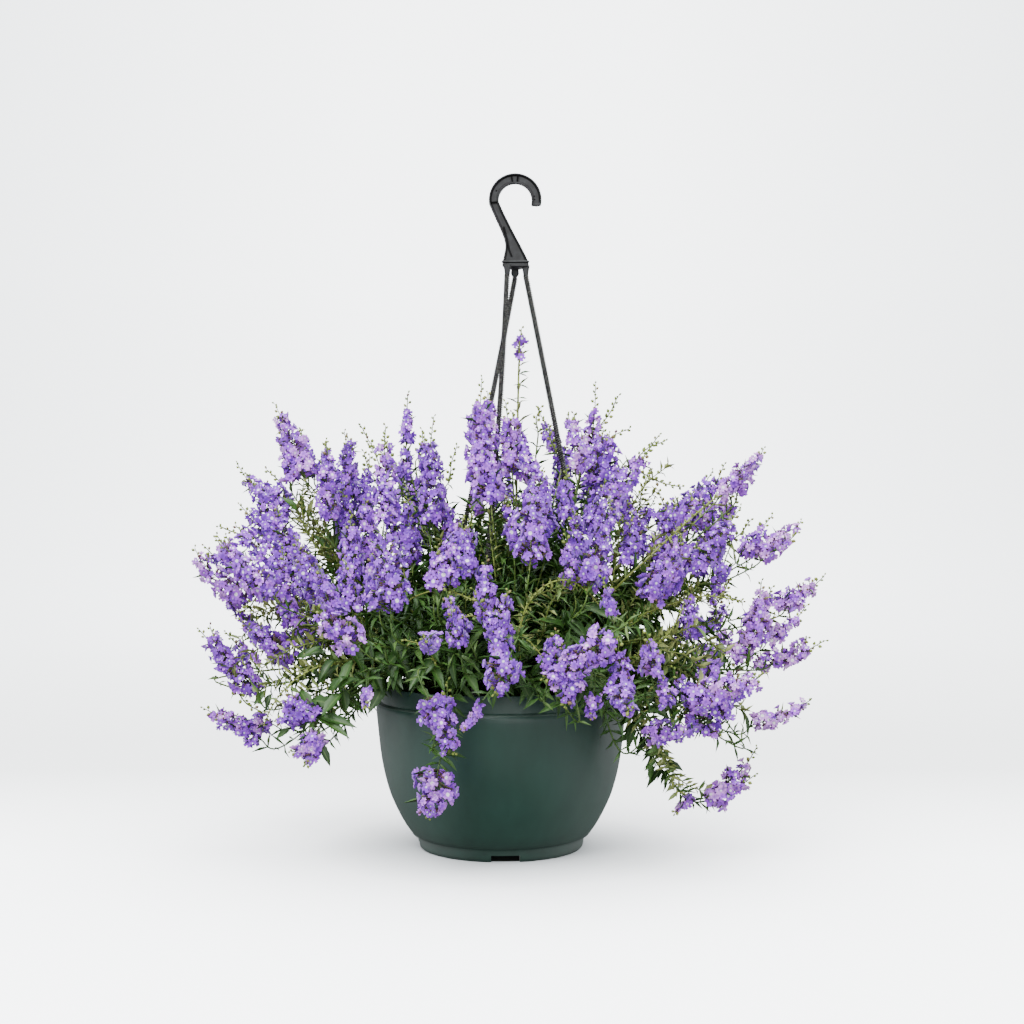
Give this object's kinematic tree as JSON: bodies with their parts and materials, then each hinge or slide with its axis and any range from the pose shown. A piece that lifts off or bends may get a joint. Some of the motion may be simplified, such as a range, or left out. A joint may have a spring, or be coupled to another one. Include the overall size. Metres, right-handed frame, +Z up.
{
  "type": "potted angelonia in a hanging basket",
  "caption": "Bushy flowering bedding plant with upright violet flower spikes in a round green plastic hanging basket with a hook.",
  "frame": {"origin": "middle of the basket's foot, on the surface it stands on", "axes": "+Z up through the hook; +X to the right seen from the front, where the front strand is; -Y to the front"},
  "size_m": [0.6472, 0.4965, 0.686],
  "materials": {
    "green_plastic": "satin",
    "potting_soil": "matte",
    "charcoal_plastic": "satin",
    "foliage": "matte",
    "violet_petals": "matte",
    "pale_violet_petals": "matte",
    "deep_violet_petals": "matte"
  },
  "bodies": {
    "root": {"pot": "green_plastic", "soil": "potting_soil", "hanger_hook": "charcoal_plastic", "strand_front": "charcoal_plastic", "strand_back_left": "charcoal_plastic", "strand_back_right": "charcoal_plastic", "plant_left": "foliage", "plant_front_left": "foliage", "plant_front_right": "foliage", "plant_right": "foliage", "plant_back_right": "foliage", "plant_back_left": "foliage", "spike_left_a": "violet_petals", "spike_left_b": "pale_violet_petals", "spike_left_c": "deep_violet_petals", "spike_left_d": "violet_petals", "spike_left_e": "pale_violet_petals", "spike_left_f": "deep_violet_petals", "spike_left_g": "violet_petals", "spike_left_h": "pale_violet_petals", "spike_left_i": "deep_violet_petals", "spike_front_left_a": "violet_petals", "spike_front_left_b": "pale_violet_petals", "spike_front_left_c": "deep_violet_petals", "spike_front_left_d": "violet_petals", "spike_front_left_e": "pale_violet_petals", "spike_front_left_f": "deep_violet_petals", "spike_front_left_g": "violet_petals", "spike_front_left_h": "pale_violet_petals", "spike_front_left_i": "deep_violet_petals", "spike_front_left_j": "violet_petals", "spike_front_right_a": "pale_violet_petals", "spike_front_right_b": "deep_violet_petals", "spike_front_right_c": "violet_petals", "spike_front_right_d": "pale_violet_petals", "spike_front_right_e": "deep_violet_petals", "spike_front_right_f": "violet_petals", "spike_front_right_g": "pale_violet_petals", "spike_front_right_h": "deep_violet_petals", "spike_right_a": "violet_petals", "spike_right_b": "pale_violet_petals", "spike_right_c": "deep_violet_petals", "spike_right_d": "violet_petals", "spike_right_e": "pale_violet_petals", "spike_right_f": "deep_violet_petals", "spike_right_g": "violet_petals", "spike_right_h": "pale_violet_petals", "spike_right_i": "deep_violet_petals", "spike_right_j": "violet_petals", "spike_right_k": "pale_violet_petals", "spike_right_l": "deep_violet_petals", "spike_back_right_a": "violet_petals", "spike_back_right_b": "pale_violet_petals", "spike_back_right_c": "deep_violet_petals", "spike_back_right_d": "violet_petals", "spike_back_right_e": "pale_violet_petals", "spike_back_left_a": "deep_violet_petals", "spike_back_left_b": "violet_petals", "spike_back_left_c": "pale_violet_petals", "spike_back_left_d": "deep_violet_petals"}
  },
  "joints": []
}
